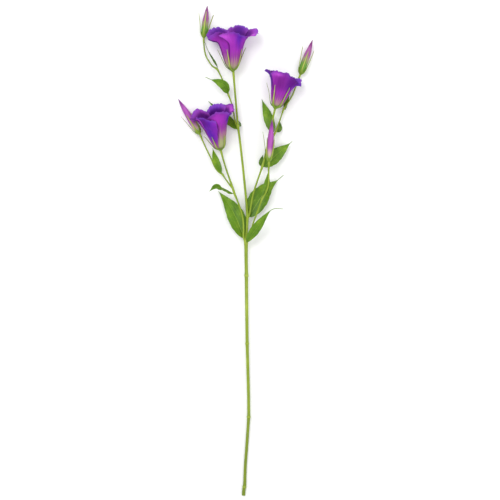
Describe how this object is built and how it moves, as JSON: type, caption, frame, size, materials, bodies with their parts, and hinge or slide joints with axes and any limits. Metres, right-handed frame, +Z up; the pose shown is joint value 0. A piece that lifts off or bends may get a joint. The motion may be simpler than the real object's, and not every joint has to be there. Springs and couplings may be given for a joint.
{
  "type": "lisianthus flower",
  "caption": "Cut lisianthus stem lying flat: funnel-shaped purple blooms of overlapping petals, furled buds, pointed green leaves and sepals on slender forking branches.",
  "frame": {"origin": "centre of the lying stem's footprint, on the surface that it lies on", "axes": "+Y along the stem from its cut end to its blooms, +X to the right of the stem seen from above, +Z up from the surface"},
  "size_m": [0.1939, 0.6974, 0.0518],
  "materials": {
    "stem": "satin",
    "branch": "satin",
    "leaf": "satin",
    "sepal": "satin",
    "petal": "matte",
    "bud": "matte",
    "stamen": "matte",
    "pistil": "matte"
  },
  "bodies": {
    "root": {"main_stem": "stem", "centre_branch": "branch", "top_bud_branch": "branch", "left_branch": "branch", "left_bud_stalk": "branch", "right_branch": "branch", "right_bud_stalk": "branch", "front_bud_stalk": "branch", "whorl_leaf_left": "leaf", "whorl_leaf_right": "leaf", "fork_leaf": "leaf", "left_branch_leaf": "leaf", "left_bract": "leaf", "top_branch_leaf": "leaf", "centre_leaf_left": "leaf", "centre_leaf_right": "leaf", "right_stalk_leaf_left": "leaf", "right_stalk_leaf_right": "leaf", "right_bract": "leaf", "right_branch_leaf": "leaf", "right_branch_leaf_small": "leaf", "front_bract": "leaf", "top_bract": "leaf", "top_petal_1": "petal", "top_petal_2": "petal", "top_petal_3": "petal", "top_petal_4": "petal", "top_petal_5": "petal", "top_flower_calyx": "sepal", "top_flower_stamens": "stamen", "top_flower_pistil": "pistil", "left_petal_1": "petal", "left_petal_2": "petal", "left_petal_3": "petal", "left_petal_4": "petal", "left_petal_5": "petal", "left_flower_calyx": "sepal", "left_flower_stamens": "stamen", "left_flower_pistil": "pistil", "right_petal_1": "petal", "right_petal_2": "petal", "right_petal_3": "petal", "right_petal_4": "petal", "right_petal_5": "petal", "right_flower_calyx": "sepal", "right_flower_stamens": "stamen", "right_flower_pistil": "pistil", "top_bud": "bud", "top_bud_calyx": "sepal", "left_bud": "bud", "left_bud_calyx": "sepal", "front_bud": "bud", "front_bud_calyx": "sepal", "right_bud": "bud", "right_bud_calyx": "sepal"}
  },
  "joints": []
}
